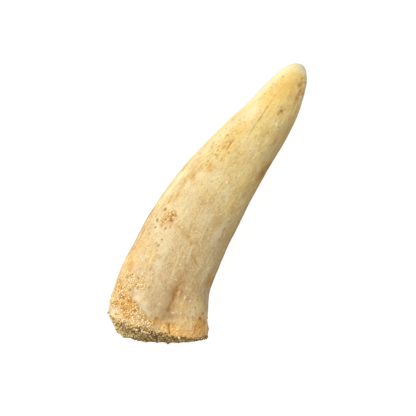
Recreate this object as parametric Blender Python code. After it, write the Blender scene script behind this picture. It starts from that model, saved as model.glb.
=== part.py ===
"""A fossil fish fang lying on its flank, with the hard sand of its bed still stuck to the broken base.

The fang is one solid: a cone bent in one plane, oval in section, with a keel along its outer curve and a
furrow and pits in its upper flank. The sand is a second solid, a lumpy cap that fills the dished break.
The origin is on the surface that the fang lies on, under the middle of its box. +X runs from the base to
the tip, +Y towards the outside of the curve, and +Z up.
"""

import math
from bisect import bisect_right

import bmesh
import bpy
from mathutils import Vector, noise

# Lengths below are in millimetres and angles in degrees; place() turns a finished point to metres.
MM = 0.001

AXIS_LENGTH = 45.5  # along the bent axis, from the base plane to the tip
TIP_RADIUS = 2.6  # how far back from the tip the point rounds over
SAND_DEPTH = 2.72  # how far the sand stands past the base plane, in the middle
SAND_LEAN = 0.05  # how much deeper it gets for each millimetre towards the outer curve
SAND_EDGE = 0.15  # its least thickness at the rim
DISH_DEPTH = 1.3  # how far the middle of the break is sunk below its rim
JOINT_GAP = 0.3  # between the break and the sand
REST_FLAT = 0.15  # how much the belly is worn flat where it rests
ORIGIN_ALONG = 20.3  # the middle of the box, measured from the base plane along +X
ORIGIN_ACROSS = 0.65  # and from the middle of the base plane along +Y

# The fang at stations along its axis: distance from the base plane, the axis's heading from +X, half the
# width across the curve and half the thickness.
STATIONS = (
    (-3.0, 22.5, 7.20, 5.30),
    (0.0, 22.5, 7.22, 5.35),
    (4.0, 18.0, 7.02, 5.25),
    (8.0, 3.5, 6.68, 4.95),
    (12.0, 1.8, 6.42, 4.65),
    (16.5, -2.6, 6.17, 4.30),
    (21.0, -5.3, 5.83, 3.95),
    (25.0, -7.5, 5.37, 3.60),
    (29.0, -9.6, 4.86, 3.20),
    (33.0, -10.0, 4.34, 2.80),
    (36.0, -7.0, 3.87, 2.46),
    (38.5, -3.0, 3.50, 2.20),
    (41.0, -2.0, 2.92, 1.90),
    (43.5, -10.0, 2.14, 1.60),
    (45.5, -34.0, 1.84, 1.40),
)
HEADING, HALF_WIDTH, HALF_THICKNESS = 1, 2, 3
AXIS_STEP = 0.25  # the axis is summed in steps of this length

SECTION_POWER = 2.25  # 2 is an ellipse, and more is boxier

# Angles round a section start at the outer curve and pass over the upper flank.
KEEL_ANGLE, KEEL_SPREAD, KEEL_HEIGHT = 28.0, 5.5, 0.26
KEEL_GROOVE_ANGLE, KEEL_GROOVE_SPREAD, KEEL_GROOVE_DEPTH = 14.0, 6.0, 0.10
FLUTE_ANGLE, FLUTE_PITCH, FLUTE_SPREAD, FLUTE_HEIGHT = 168.0, 22.5, 30.0, 0.06

# Furrows run up the flanks from the break: angle at the break, angle at the far end, length, width, depth.
FURROWS = (
    (100.0, 114.0, 7.5, 1.6, 0.36),
    (206.0, 198.0, 6.0, 1.6, 0.24),
    (318.0, 330.0, 7.0, 1.6, 0.22),
)
# Worn hollows in the flanks: distance along the axis, angle, radius and depth.
HOLLOWS = (
    (14.6, 60.0, 1.4, 0.24),
    (24.0, 42.0, 1.6, 0.14),
    (37.2, 118.0, 0.9, 0.16),
    (11.0, 305.0, 1.5, 0.14),
    (27.0, 235.0, 1.4, 0.12),
)
UNDULATION_SIZE, UNDULATION_HEIGHT = 5.0, 0.09

# The sand that has crept up the outer curve from the break, as a lumpy crust grown to the flank.
CRUST_ALONG, CRUST_REACH = -0.5, 5.6
CRUST_ANGLE, CRUST_SPREAD = 43.0, 40.0
CRUST_HEIGHT = 0.15
CRUST_LUMP, CRUST_LUMP_SIZE = 0.34, 1.5

# The rim of the break: how far past the base plane it reaches on each side, and how ragged it is.
RIM_OUTER, RIM_UPPER, RIM_INNER, RIM_BELLY = -0.85, 2.2, 1.2, 1.2
RIM_RAGGED, RIM_RAGGED_SIZE = 0.15, 2.4
RIM_FLARE, RIM_FLARE_REACH = 0.12, 1.6
RIM_FADE = 7.0  # above this distance from the base plane the rings ignore the ragged rim

SAND_PROUD = 0.08  # the sand stands this far outside the fang at the joint
SAND_LUMP, SAND_LUMP_SIZE = 0.42, 1.5
SAND_GRIT, SAND_GRIT_SIZE = 0.2, 0.65
SAND_ROUND = 2.5  # how full the cap's corner is on the inner side, where 2 is round and more is boxier
SAND_CHAMFER, SAND_CHAMFER_TURN = 0.35, 6.0  # on the outer side it's worn off at a slant, this share of its width

AROUND = 64  # facets round the fang and the sand
END_RINGS, FLANK_RINGS, TIP_RINGS = 4, 46, 6
BASE_SPACING = 0.5  # the flank's rings are this much closer than their mean at the base
SAND_FACE_RINGS, SAND_CAP_RINGS = 4, 14
SHARP_ANGLE = 50.0  # edges sharper than this are shaded as edges

FANG_COLOUR, FANG_ROUGHNESS = (0.72, 0.56, 0.33, 1.0), 0.42
SAND_COLOUR, SAND_ROUGHNESS = (0.33, 0.23, 0.11, 1.0), 0.95


def station(along, column):
    """A column of STATIONS at a distance along the axis, as a smooth curve through its rows."""
    last = len(STATIONS) - 1
    i = max(0, min(last - 1, bisect_right([row[0] for row in STATIONS], along) - 1))
    start, end = STATIONS[i], STATIONS[i + 1]

    def slope(k):
        before, after = STATIONS[max(k - 1, 0)], STATIONS[min(k + 1, last)]
        return (after[column] - before[column]) / (after[0] - before[0])

    span = end[0] - start[0]
    t = (along - start[0]) / span
    return (
        start[column] * (1 + 2 * t) * (1 - t) ** 2
        + end[column] * (3 - 2 * t) * t**2
        + span * (slope(i) * t * (1 - t) ** 2 - slope(i + 1) * (1 - t) * t**2)
    )


def axis_points():
    """The axis's points every AXIS_STEP from the first station, with the base plane's at (0, 0)."""
    first = STATIONS[0][0]
    count = round((AXIS_LENGTH - first) / AXIS_STEP)
    points = [Vector((0.0, 0.0))]
    for k in range(count):
        heading = math.radians(station(first + (k + 0.5) * AXIS_STEP, HEADING))
        points.append(points[-1] + AXIS_STEP * Vector((math.cos(heading), math.sin(heading))))
    base = points[round(-first / AXIS_STEP)].copy()
    return [point - base for point in points]


AXIS = axis_points()


def axis_point(along):
    """The axis at a distance from the base plane."""
    place_in_list = (along - STATIONS[0][0]) / AXIS_STEP
    k = max(0, min(len(AXIS) - 2, int(place_in_list)))
    return AXIS[k].lerp(AXIS[k + 1], place_in_list - k)


def place(along, across, height):
    """A point in metres, from its distance along the axis, its offset across it and its height."""
    heading = math.radians(station(along, HEADING))
    foot = axis_point(along) + across * Vector((-math.sin(heading), math.cos(heading)))
    return MM * Vector((foot.x - ORIGIN_ALONG, foot.y - ORIGIN_ACROSS, max(0.0, height)))


def bump(distance, spread):
    """1 at no distance, falling smoothly towards 0 past the spread."""
    return math.exp(-((distance / spread) ** 2))


def turned(angle, to):
    """The angle from one direction to another, from -180 to 180."""
    return (angle - to + 180.0) % 360.0 - 180.0


def oval(angle):
    """A boxy oval of half sizes 1, at an angle."""
    c, s = math.cos(math.radians(angle)), math.sin(math.radians(angle))
    power = 2.0 / SECTION_POWER
    return math.copysign(abs(c) ** power, c), math.copysign(abs(s) ** power, s)


def tip_share(along):
    """How much of its full section the fang still has, 1 until it rounds over at the tip."""
    past = max(0.0, (along - AXIS_LENGTH + TIP_RADIUS) / TIP_RADIUS)
    return math.sqrt(max(0.0, 1.0 - past * past))


def rim(angle):
    """How far the ragged rim of the break is from the base plane, below 0."""
    c, s = math.cos(math.radians(angle)), math.sin(math.radians(angle))
    sides = (RIM_OUTER if c > 0 else RIM_INNER) * c * c + (RIM_UPPER if s > 0 else RIM_BELLY) * s * s
    spot = Vector((c, s, 0.0)) * (station(0.0, HALF_WIDTH) / RIM_RAGGED_SIZE)
    return -sides + RIM_RAGGED * noise.noise(spot)


def relief(along, angle):
    """How far the fang's surface stands above its plain oval section."""
    width = station(along, HALF_WIDTH)
    fade = tip_share(along)
    height = KEEL_HEIGHT * bump(turned(angle, KEEL_ANGLE), KEEL_SPREAD)
    height -= KEEL_GROOVE_DEPTH * bump(turned(angle, KEEL_GROOVE_ANGLE), KEEL_GROOVE_SPREAD)
    inner = turned(angle, FLUTE_ANGLE)
    height += FLUTE_HEIGHT * bump(inner, FLUTE_SPREAD) * math.cos(2.0 * math.pi * inner / FLUTE_PITCH)
    height *= min(1.0, width / station(8.0, HALF_WIDTH))
    c, s = oval(angle)
    spot = Vector((along, width * c, width * s))
    height += UNDULATION_HEIGHT * noise.noise(spot / UNDULATION_SIZE)
    height += RIM_FLARE * bump(max(0.0, along - rim(angle)), RIM_FLARE_REACH)
    cover = 1.0 - math.hypot((along - CRUST_ALONG) / CRUST_REACH, turned(angle, CRUST_ANGLE) / CRUST_SPREAD)
    lump = noise.noise(spot / CRUST_LUMP_SIZE)
    cover = max(0.0, min(1.0, 3.0 * cover + lump))
    height += cover * (CRUST_HEIGHT + CRUST_LUMP * lump)
    for start, end, length, breadth, depth in FURROWS:
        share = min(1.0, max(0.0, along / length))
        sideways = math.radians(turned(angle, start + (end - start) * share)) * width
        height -= depth * bump(sideways, breadth / 2) * (1.0 - bump(max(0.0, length - along), length / 3))
    for where, at_angle, radius, depth in HOLLOWS:
        sideways = math.radians(turned(angle, at_angle)) * width
        height -= depth * bump(math.hypot(sideways, along - where), radius)
    return height * fade


def flank(along, angle, outward=0.0):
    """A point of the fang's side, in metres, moved outward by a length."""
    share = tip_share(along)
    across, up = oval(angle)
    half_width = station(along, HALF_WIDTH) * share
    half_thickness = station(along, HALF_THICKNESS) * share
    normal = Vector((across / max(half_width, 1e-6), up / max(half_thickness, 1e-6)))
    normal.normalize()
    offset = relief(along, angle) + outward
    middle = station(along, HALF_THICKNESS) - REST_FLAT
    return place(along, across * half_width + normal.x * offset, middle + up * half_thickness + normal.y * offset)


def flank_along(share, angle):
    """The distance along the axis of a ring on the flank: the lowest rings follow the ragged rim."""
    along = share * (BASE_SPACING + (1.0 - BASE_SPACING) * share) * (AXIS_LENGTH - TIP_RADIUS)
    return along + rim(angle) * (1.0 - min(1.0, along / RIM_FADE)) ** 2


def break_point(share, angle, below=0.0):
    """A point of the dished break, from its middle to its rim, in metres, moved towards the sand."""
    across, up = oval(angle)
    lip = rim(angle)
    middle = -0.25 * (RIM_OUTER + RIM_UPPER + RIM_INNER + RIM_BELLY) + DISH_DEPTH
    along = lip + (middle - lip) * (1.0 - share**3) - below
    edge = relief(lip, angle)
    half_width = station(lip, HALF_WIDTH) + edge
    half_thickness = station(lip, HALF_THICKNESS) + edge
    height = station(lip, HALF_THICKNESS) - REST_FLAT + share * up * half_thickness
    return place(along, share * across * half_width, height)


def ring_and_angle(vertex, rings):
    """Which ring of a unit sphere a vertex is on, counted from the lower pole, and its angle round."""
    ring = rings * (0.5 + math.asin(max(-1.0, min(1.0, vertex.co.z))) / math.pi)
    return round(ring), math.degrees(math.atan2(vertex.co.y, vertex.co.x)) % 360.0


def fang_point(ring, angle):
    """Where a vertex of the sphere goes on the fang: over the break, along the flank and over the tip."""
    if ring < END_RINGS:
        return break_point(ring / END_RINGS, angle)
    ring -= END_RINGS
    if ring < FLANK_RINGS:
        return flank(flank_along(ring / FLANK_RINGS, angle), angle)
    turn = math.radians(90.0 * (ring - FLANK_RINGS) / TIP_RINGS)
    return flank(AXIS_LENGTH - TIP_RADIUS * (1.0 - math.sin(turn)), angle)


def sand_cap_point(share, angle):
    """A point of the sand's outside, from the middle of its end at 0 to the joint with the fang at 1."""
    across, up = oval(angle)
    lip = rim(angle) - JOINT_GAP
    turn = math.radians(90.0 * share)
    reach, drop = math.sin(turn) ** (2.0 / SAND_ROUND), math.cos(turn) ** (2.0 / SAND_ROUND)
    slant = (1.0 - reach) / SAND_CHAMFER
    slant /= (1.0 + slant**SAND_CHAMFER_TURN) ** (1.0 / SAND_CHAMFER_TURN)
    drop += (slant - drop) * (0.5 + 0.5 * math.cos(math.radians(angle)))
    deepest = min(lip - SAND_EDGE, -SAND_DEPTH - SAND_LEAN * reach * across * station(0.0, HALF_WIDTH))
    along = lip + (deepest - lip) * drop
    edge = relief(lip, angle) + SAND_PROUD * min(1.0, 4.0 * (1.0 - share) + 0.5)
    half_width = station(lip, HALF_WIDTH) + edge
    half_thickness = station(lip, HALF_THICKNESS) + edge
    spot = Vector((along, reach * across * half_width, reach * up * half_thickness))
    lump = SAND_LUMP * noise.noise(spot / SAND_LUMP_SIZE) + SAND_GRIT * noise.noise(spot / SAND_GRIT_SIZE)
    lump *= min(1.0, 3.0 * (1.0 - share))
    outward = Vector((reach * across, reach * up, drop)).normalized() * lump
    height = station(lip, HALF_THICKNESS) - REST_FLAT + reach * up * half_thickness + outward.y
    return place(along - outward.z, reach * across * half_width + outward.x, height)


def sand_point(ring, angle):
    """Where a vertex of the sphere goes on the sand: over the cap, then back across the dished break."""
    if ring <= SAND_CAP_RINGS:
        return sand_cap_point(ring / SAND_CAP_RINGS, angle)
    ring -= SAND_CAP_RINGS
    return break_point(1.0 - ring / SAND_FACE_RINGS, angle, JOINT_GAP)


def shaped_sphere(name, rings, point_of, material, collection):
    """An object made by drawing a sphere's rings out into a piece's own shape."""
    shape = bmesh.new()
    bmesh.ops.create_uvsphere(shape, u_segments=AROUND, v_segments=rings, radius=1.0)
    for vertex in shape.verts:
        vertex.co = point_of(*ring_and_angle(vertex, rings))
    mesh = bpy.data.meshes.new(name)
    shape.to_mesh(mesh)
    shape.free()
    mesh.shade_smooth()
    mesh.set_sharp_from_angle(angle=math.radians(SHARP_ANGLE))
    mesh.materials.append(material)
    piece = bpy.data.objects.new(name, mesh)
    collection.objects.link(piece)
    return piece


def finish(name, colour, roughness):
    """A plain material with the piece's colour and roughness."""
    material = bpy.data.materials.new(name)
    material.use_nodes = True
    shader = material.node_tree.nodes["Principled BSDF"]
    shader.inputs["Base Color"].default_value = colour
    shader.inputs["Roughness"].default_value = roughness
    shader.inputs["Metallic"].default_value = 0.0
    return material


def main():
    for leftover in list(bpy.data.objects):
        bpy.data.objects.remove(leftover)
    collection = bpy.data.collections.new("fossil_fish_fang")
    bpy.context.scene.collection.children.link(collection)
    enamel = finish("fossil_enamel", FANG_COLOUR, FANG_ROUGHNESS)
    sand = finish("hard_sand", SAND_COLOUR, SAND_ROUGHNESS)
    shaped_sphere("fang", END_RINGS + FLANK_RINGS + TIP_RINGS, fang_point, enamel, collection)
    shaped_sphere("sand_matrix", SAND_CAP_RINGS + SAND_FACE_RINGS, sand_point, sand, collection)


main()
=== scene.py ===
"""A fossil fish fang with hard sand on its broken base, lying on a pale sheet and seen from above."""

import math

import bpy
import numpy as np
from mathutils import Matrix, Vector, noise


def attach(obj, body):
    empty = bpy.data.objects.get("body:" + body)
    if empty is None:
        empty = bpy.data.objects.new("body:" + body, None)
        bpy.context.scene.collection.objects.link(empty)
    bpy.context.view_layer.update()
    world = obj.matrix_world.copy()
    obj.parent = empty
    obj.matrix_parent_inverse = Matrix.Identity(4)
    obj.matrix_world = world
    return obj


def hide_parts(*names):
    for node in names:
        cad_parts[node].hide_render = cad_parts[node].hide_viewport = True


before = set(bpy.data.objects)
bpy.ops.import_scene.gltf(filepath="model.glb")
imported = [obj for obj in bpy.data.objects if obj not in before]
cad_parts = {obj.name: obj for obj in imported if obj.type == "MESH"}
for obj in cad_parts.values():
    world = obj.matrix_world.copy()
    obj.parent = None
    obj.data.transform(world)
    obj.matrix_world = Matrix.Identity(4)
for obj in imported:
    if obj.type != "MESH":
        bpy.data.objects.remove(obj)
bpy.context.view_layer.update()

# The fang. A grown tooth of dentine under a thin skin of enamel, turned to stone in the sea bed: a cone bent in
# one plane, with a keel inside its outer curve, that broke from the jaw at its base. The solid's own rings are
# drawn again here much closer, with the pits, cracks and lines between them.
MM = 0.001  # lengths are in millimetres until this turns them to metres, and angles are in degrees
AXIS_LENGTH, TIP_RADIUS = 45.5, 2.6
DISH_DEPTH = 1.3
REST_FLAT = 0.15
ORIGIN_ALONG, ORIGIN_ACROSS = 20.3, 0.65
SECTION_POWER = 2.25

# Distance from the base plane, heading, half width and half thickness along the bent axis.
STATIONS = np.array([
    (-3.0, 22.5, 7.20, 5.30),
    (0.0, 22.5, 7.22, 5.35),
    (4.0, 18.0, 7.02, 5.25),
    (8.0, 3.5, 6.68, 4.95),
    (12.0, 1.8, 6.42, 4.65),
    (16.5, -2.6, 6.17, 4.30),
    (21.0, -5.3, 5.83, 3.95),
    (25.0, -7.5, 5.37, 3.60),
    (29.0, -9.6, 4.86, 3.20),
    (33.0, -10.0, 4.34, 2.80),
    (36.0, -7.0, 3.87, 2.46),
    (38.5, -3.0, 3.50, 2.20),
    (41.0, -2.0, 2.92, 1.90),
    (43.5, -10.0, 2.14, 1.60),
    (45.5, -34.0, 1.84, 1.40),
])
HEADING, HALF_WIDTH, HALF_THICKNESS = 1, 2, 3
AXIS_STEP = 0.25

KEEL = ((28.0, 5.5, 0.26), (14.0, 6.0, -0.10))  # direction, spread and height, of it and of the groove beside it
KEEL_WHOLE = 8.0  # it gets lower where the fang is slimmer than here
FLUTE_ANGLE, FLUTE_PITCH, FLUTE_SPREAD, FLUTE_HEIGHT = 168.0, 22.5, 30.0, 0.06
FURROWS = (  # the directions in which each starts and ends, its length, breadth and depth
    (100.5, 109.5, 7.5, 1.6, 0.12),
    (206.0, 198.0, 6.0, 1.6, 0.24),
    (318.0, 330.0, 7.0, 1.6, 0.22),
)
HOLLOWS = (  # distance along, direction, radius and depth
    (14.6, 60.0, 1.4, 0.24),
    (24.0, 42.0, 1.6, 0.14),
    (37.2, 118.0, 0.9, 0.16),
    (11.0, 305.0, 1.5, 0.14),
    (27.0, 235.0, 1.4, 0.12),
)
UNDULATION_SIZE, UNDULATION_HEIGHT = 5.0, 0.09
CRUST_ALONG, CRUST_REACH = -0.5, 5.6
CRUST_ANGLE, CRUST_SPREAD = 43.0, 40.0
CRUST_HEIGHT, CRUST_LUMP, CRUST_LUMP_SIZE = 0.15, 0.34, 1.5
RIM_OUTER, RIM_UPPER, RIM_INNER, RIM_BELLY = -0.85, 2.2, 1.2, 1.2
RIM_RAGGED, RIM_RAGGED_SIZE = 0.15, 2.4
RIM_FLARE, RIM_FLARE_REACH, RIM_FADE = 0.12, 1.6, 7.0
RIM_TO_SAND = 0.15  # half of the solids' joint gap, which this rim closes
LONG_RIM, LONG_RIM_ANGLE, LONG_RIM_SPREAD = 0.51, 136.0, 42.0  # and a thin lip that laps over the sand

FANG_AROUND, CROWDING = 288, 16.0  # the columns stand closer on the upper side, where the marks are
DISH_RINGS, FLANK_RINGS, TIP_RINGS, BASE_SPACING = 10, 296, 14, 0.75


def perlin(points, size):
    """Smooth noise from -1 to 1 at an array of points, with lumps of a size."""
    flat = (points / size).reshape(-1, 3)
    return np.fromiter((noise.noise(p) for p in flat.tolist()), float, len(flat)).reshape(points.shape[:-1])


def step_up(low, high, value):
    """0 below low and 1 above high, with an easy curve between."""
    t = np.clip((value - low) / (high - low), 0.0, 1.0)
    return t * t * (3.0 - 2.0 * t)


def station(along, column):
    """A column of STATIONS at distances along the axis, as a smooth curve through its rows."""
    where, value = STATIONS[:, 0], STATIONS[:, column]
    last = len(where) - 1
    k = np.arange(last + 1)
    before, after = np.maximum(k - 1, 0), np.minimum(k + 1, last)
    slope = (value[after] - value[before]) / (where[after] - where[before])
    i = np.clip(np.searchsorted(where, along, side="right") - 1, 0, last - 1)
    span = where[i + 1] - where[i]
    t = (along - where[i]) / span
    return (
        value[i] * (1 + 2 * t) * (1 - t) ** 2
        + value[i + 1] * (3 - 2 * t) * t**2
        + span * (slope[i] * t * (1 - t) ** 2 - slope[i + 1] * (1 - t) * t**2)
    )


axis_along = np.arange(STATIONS[0, 0], AXIS_LENGTH + AXIS_STEP / 2, AXIS_STEP)
step_heading = np.radians(station(axis_along[:-1] + AXIS_STEP / 2, HEADING))
axis_x = np.concatenate(([0.0], np.cumsum(np.cos(step_heading)))) * AXIS_STEP
axis_y = np.concatenate(([0.0], np.cumsum(np.sin(step_heading)))) * AXIS_STEP
axis_x -= np.interp(0.0, axis_along, axis_x)
axis_y -= np.interp(0.0, axis_along, axis_y)


def place(along, across, height):
    """Points in metres, from distances along the axis, offsets across it and heights."""
    heading = np.radians(station(along, HEADING))
    past = np.minimum(along - axis_along[0], 0.0)
    x = np.interp(along, axis_along, axis_x) + past * np.cos(heading) - across * np.sin(heading)
    y = np.interp(along, axis_along, axis_y) + past * np.sin(heading) + across * np.cos(heading)
    return MM * np.stack((x - ORIGIN_ALONG, y - ORIGIN_ACROSS, np.maximum(0.0, height)), axis=-1)


def bump(distance, spread):
    """1 at no distance, falling smoothly towards 0 past the spread."""
    return np.exp(-((distance / spread) ** 2))


def turned(angle, to):
    """The angle from one direction to another, from -180 to 180."""
    return (angle - to + 180.0) % 360.0 - 180.0


def round_by(angle, to, width):
    """How far round a section of a width an angle is from a direction."""
    return np.radians(turned(angle, to)) * width


def oval(angle):
    """A boxy oval of half sizes 1, at angles."""
    c, s = np.cos(np.radians(angle)), np.sin(np.radians(angle))
    power = 2.0 / SECTION_POWER
    return np.copysign(np.abs(c) ** power, c), np.copysign(np.abs(s) ** power, s)


def tip_share(along):
    """How much of its full section the fang still has, 1 until it rounds over at the tip."""
    past = np.maximum(0.0, (along - AXIS_LENGTH + TIP_RADIUS) / TIP_RADIUS)
    return np.sqrt(np.maximum(0.0, 1.0 - past * past))


def rim(angle):
    """How far the ragged rim of the break is from the base plane, below 0."""
    c, s = np.cos(np.radians(angle)), np.sin(np.radians(angle))
    sides = np.where(c > 0, RIM_OUTER, RIM_INNER) * c * c + np.where(s > 0, RIM_UPPER, RIM_BELLY) * s * s
    width = station(np.zeros_like(c), HALF_WIDTH)
    spot = np.stack((c, s, np.zeros_like(c)), axis=-1) * width[..., None]
    return -sides + RIM_RAGGED * perlin(spot, RIM_RAGGED_SIZE)


def joint(angle):
    """Where the rim and the sand meet."""
    return rim(angle) - RIM_TO_SAND - LONG_RIM * bump(turned(angle, LONG_RIM_ANGLE), LONG_RIM_SPREAD)


def section_spot(along, angle):
    """A point for noise that runs on round the section and along the fang."""
    c, s = oval(angle)
    width = station(along, HALF_WIDTH)
    return np.stack((along, width * c, width * s), axis=-1)


def relief(along, angle):
    """How far the solid's surface stands above its plain oval section."""
    width = station(along, HALF_WIDTH)
    height = sum(rise * bump(turned(angle, toward), spread) for toward, spread, rise in KEEL)
    inner = turned(angle, FLUTE_ANGLE)
    height = height + FLUTE_HEIGHT * bump(inner, FLUTE_SPREAD) * np.cos(2.0 * np.pi * inner / FLUTE_PITCH)
    height = height * np.minimum(1.0, width / station(np.full_like(along, KEEL_WHOLE), HALF_WIDTH))
    spot = section_spot(along, angle)
    height += UNDULATION_HEIGHT * perlin(spot, UNDULATION_SIZE)
    height += RIM_FLARE * bump(np.maximum(0.0, along - rim(angle)), RIM_FLARE_REACH)
    cover = 1.0 - np.hypot((along - CRUST_ALONG) / CRUST_REACH, turned(angle, CRUST_ANGLE) / CRUST_SPREAD)
    lump = perlin(spot, CRUST_LUMP_SIZE)
    height += np.clip(3.0 * cover + lump, 0.0, 1.0) * (CRUST_HEIGHT + CRUST_LUMP * lump)
    for start, end, length, breadth, depth in FURROWS:
        sideways = round_by(angle, start + (end - start) * np.clip(along / length, 0.0, 1.0), width)
        height -= depth * bump(sideways, breadth / 2) * (1.0 - bump(np.maximum(0.0, length - along), length / 3))
    for where, at_angle, radius, depth in HOLLOWS:
        height -= depth * bump(np.hypot(round_by(angle, at_angle, width), along - where), radius)
    return height * tip_share(along)


def flank(along, angle, offset):
    """Points of the fang's side in metres, raised from the plain oval by offsets."""
    share = tip_share(along)
    across, up = oval(angle)
    half_width = station(along, HALF_WIDTH) * share
    half_thickness = station(along, HALF_THICKNESS) * share
    nx, ny = across / np.maximum(half_width, 1e-6), up / np.maximum(half_thickness, 1e-6)
    length = np.maximum(np.hypot(nx, ny), 1e-9)
    middle = station(along, HALF_THICKNESS) - REST_FLAT
    return place(
        along,
        across * half_width + nx / length * offset,
        middle + up * half_thickness + ny / length * offset,
    )


def break_points(share, angle, lip, below):
    """Points of the dished break in metres, from its middle to its rim, moved towards the sand."""
    across, up = oval(angle)
    middle = -0.25 * (RIM_OUTER + RIM_UPPER + RIM_INNER + RIM_BELLY) + DISH_DEPTH
    along = lip + (middle - lip) * (1.0 - share**3) - below
    edge = relief(lip, angle)
    half_width = station(lip, HALF_WIDTH) + edge
    half_thickness = station(lip, HALF_THICKNESS) + edge
    height = station(lip, HALF_THICKNESS) - REST_FLAT + share * up * half_thickness
    return place(along, share * across * half_width, height)


# What marks the fang's upper flank, each at a distance along the axis and an offset across it: a blot has
# half sizes along and across, a stroke has a second end and a half width, and both end with a strength.
IRON_BLOTS = (  # rust-orange stain
    (23.4, 4.15, 1.7, 0.5, 0.5), (22.6, 4.45, 1.0, 0.45, 0.45), (21.4, 3.75, 1.1, 0.45, 0.5),
    (21.0, 3.05, 1.1, 0.4, 0.25), (22.6, 3.1, 0.9, 0.45, 0.35), (23.9, 2.1, 0.7, 0.5, 0.35),
    (20.0, 3.85, 1.3, 0.2, 0.35), (16.7, 4.35, 0.8, 0.34, 0.95), (17.4, 3.75, 0.9, 0.26, 0.75),
    (14.4, 3.1, 1.5, 1.0, 0.4), (13.7, 3.7, 1.2, 0.5, 0.9), (14.0, 2.55, 0.8, 0.4, 0.85),
    (13.3, 2.35, 0.6, 0.22, 0.5), (13.2, 0.2, 0.9, 0.34, 0.65), (23.7, 1.9, 0.9, 0.6, 0.6),
    (28.0, 2.2, 1.6, 0.7, 0.45), (8.6, -6.3, 1.5, 0.8, 1.0), (-0.3, 0.05, 0.6, 0.7, 1.0),
    (41.8, -1.2, 2.8, 0.8, 0.4), (7.5, -4.3, 1.8, 1.1, 0.3), (1.4, -3.6, 1.2, 0.9, 0.3),
    (20.9, -4.4, 1.3, 0.7, 0.55), (21.4, 3.4, 1.0, 0.6, 0.6), (25.2, 3.0, 0.9, 0.4, 0.35),
    (33.0, -1.3, 2.0, 0.9, 0.25), (0.3, -5.9, 1.3, 0.6, 0.55), (4.5, 6.4, 0.9, 0.45, 0.8),
    (3.7, 6.1, 0.8, 0.3, 0.8), (42.2, -1.6, 1.6, 0.5, 0.9), (40.6, -2.35, 2.0, 0.55, 1.0),
    (37.2, -1.2, 0.8, 0.5, 0.8), (38.2, -2.9, 1.6, 0.5, 0.4), (40.0, -1.6, 2.4, 0.8, 0.45),
    (-0.5, -0.2, 0.7, 0.6, 0.6), (-0.8, -1.8, 0.6, 0.7, 0.9), (4.0, -2.6, 1.3, 0.5, 0.5), (6.3, 5.2, 0.9, 0.5, 0.4),
    (2.0, 5.2, 1.3, 1.1, 0.5), (1.2, 3.5, 0.9, 1.1, 0.5), (28.4, -4.6, 3.0, 0.6, 1.0), (6.0, -4.1, 1.4, 0.8, 0.4),
    (24.5, -4.3, 2.6, 0.5, 0.45), (33.5, -2.9, 2.0, 0.6, 0.3), (18.4, 2.7, 1.6, 0.3, 0.25),
    (26.4, 3.6, 1.0, 0.3, 0.3), (8.8, 5.0, 1.2, 0.6, 0.3),
)
IRON_STROKES = (  # the same stain in cracks
    (29.4, -4.05, 26.6, -4.4, 0.4, 0.6), (41.9, 0.34, 40.0, 0.63, 0.06, 0.35), (40.0, 0.63, 38.2, 0.87, 0.06, 0.45),
    (38.2, 0.87, 36.7, 0.85, 0.07, 0.6), (36.7, 0.85, 33.9, 0.68, 0.08, 0.95), (33.9, 0.68, 31.3, 0.41, 0.06, 0.8),
    (29.3, 1.74, 27.3, 1.6, 0.14, 0.9), (10.7, -2.45, 9.9, -3.75, 0.2, 0.25), (13.9, 1.7, 13.2, 0.2, 0.18, 0.5),
    (13.2, 0.2, 12.9, -0.9, 0.26, 0.6), (12.9, -0.9, 11.4, -2.2, 0.2, 0.6), (11.4, -2.2, 9.4, -3.4, 0.16, 0.3),
)
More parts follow.
